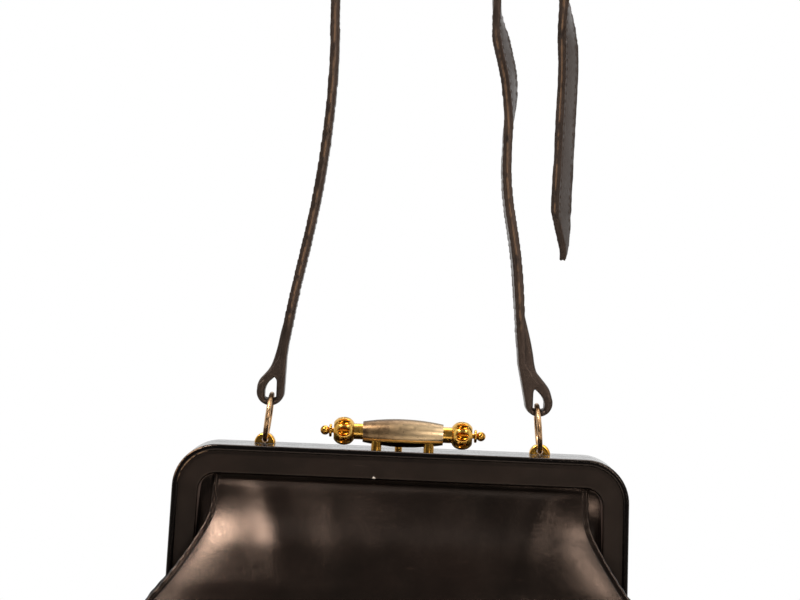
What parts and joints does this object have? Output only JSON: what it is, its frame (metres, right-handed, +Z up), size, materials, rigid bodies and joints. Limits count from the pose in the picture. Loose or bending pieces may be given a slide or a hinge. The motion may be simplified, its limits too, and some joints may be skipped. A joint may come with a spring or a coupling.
{
  "type": "leather frame handbag",
  "caption": "Leather handbag on a hinged metal frame with a barrel clasp, rings and an adjustable strap.",
  "frame": {"origin": "middle of the base's underside", "axes": "+Z up, the front faces -Y, +X runs along the frame towards the strap's tail"},
  "size_m": [0.2826, 0.1036, 0.481],
  "materials": {
    "frame_leather": "glossy, worn at the edges",
    "pouch_leather": "satin",
    "strap_leather": "satin",
    "gilt_metal": "polished gilt",
    "worn_gilt": "worn and brushed",
    "pale_gilt": "satin",
    "frame_steel": "satin",
    "spring_steel": "bright"
  },
  "bodies": {
    "root": {"rear_frame_cover": "frame_leather", "rear_frame_channel": "frame_steel", "hinge_rivets": "frame_steel", "base": "pouch_leather", "front_panel_lower": "pouch_leather", "front_panel_fold": "pouch_leather", "rear_panel": "pouch_leather", "gusset_left_lower": "pouch_leather", "gusset_right_lower": "pouch_leather", "gusset_left_fold": "pouch_leather", "gusset_right_fold": "pouch_leather", "gusset_left_pleat": "pouch_leather", "gusset_right_pleat": "pouch_leather", "rear_gusset_corners": "pouch_leather", "front_welts_lower": "pouch_leather", "front_welts_fold": "pouch_leather", "rear_welts": "pouch_leather", "ring_anchors": "gilt_metal", "clasp_catch": "gilt_metal"},
    "front_frame": {"front_frame_cover": "frame_leather", "front_frame_channel": "frame_steel", "front_panel_upper": "pouch_leather", "front_gusset_corners": "pouch_leather", "front_welts_upper": "pouch_leather", "clasp_posts": "gilt_metal", "clasp_barrel_tray": "gilt_metal", "clasp_barrel_cover": "worn_gilt", "clasp_spring": "spring_steel"},
    "clasp_slide": {"clasp_rod": "gilt_metal", "clasp_knob_left": "gilt_metal", "clasp_knob_right": "gilt_metal", "clasp_finials": "gilt_metal", "clasp_latch_collar": "gilt_metal"},
    "ring_left": {"ring_left": "pale_gilt"},
    "ring_right": {"ring_right": "pale_gilt"},
    "strap": {"strap_long": "strap_leather", "strap_short": "strap_leather", "buckle_frame": "gilt_metal"},
    "buckle_prong": {"buckle_prong": "gilt_metal"}
  },
  "joints": [
    {"name": "frame_opening", "type": "hinge", "parent": "root", "child": "front_frame", "pos_m": [0, 0, 0.11], "axis": [1, 0, 0], "range_deg": [0, 45], "deforming": ["front_panel_fold", "gusset_left_fold", "gusset_right_fold", "gusset_left_pleat", "gusset_right_pleat", "front_welts_fold"]},
    {"name": "clasp_push", "type": "slide", "parent": "front_frame", "child": "clasp_slide", "axis": [1, 0, 0], "range_m": [0, 0.0035], "stiffness_N_per_m": 600, "deforming": ["clasp_spring"]},
    {"name": "strap_swing", "type": "hinge", "parent": "root", "child": "strap", "pos_m": [0, 0.0055, 0.21329], "axis": [1, 0, 0], "range_deg": [-95, 95]},
    {"name": "ring_left_turn", "type": "hinge", "parent": "root", "child": "ring_left", "pos_m": [-0.06877, 0.0055, 0.21329], "axis": [0.9945, 0, -0.1045], "range_deg": [-95, 95]},
    {"name": "ring_right_turn", "type": "hinge", "parent": "root", "child": "ring_right", "pos_m": [0.06877, 0.0055, 0.21329], "axis": [0.9945, 0, 0.1045], "range_deg": [-95, 95]},
    {"name": "prong_lift", "type": "hinge", "parent": "strap", "child": "buckle_prong", "pos_m": [0.0385, 0.0055, 0.4375], "axis": [0, 1, 0], "range_deg": [0, 55]}
  ],
  "couplings": [
    {"joint": "ring_left_turn", "follows": "strap_swing", "ratio": 1},
    {"joint": "ring_right_turn", "follows": "strap_swing", "ratio": 1}
  ]
}
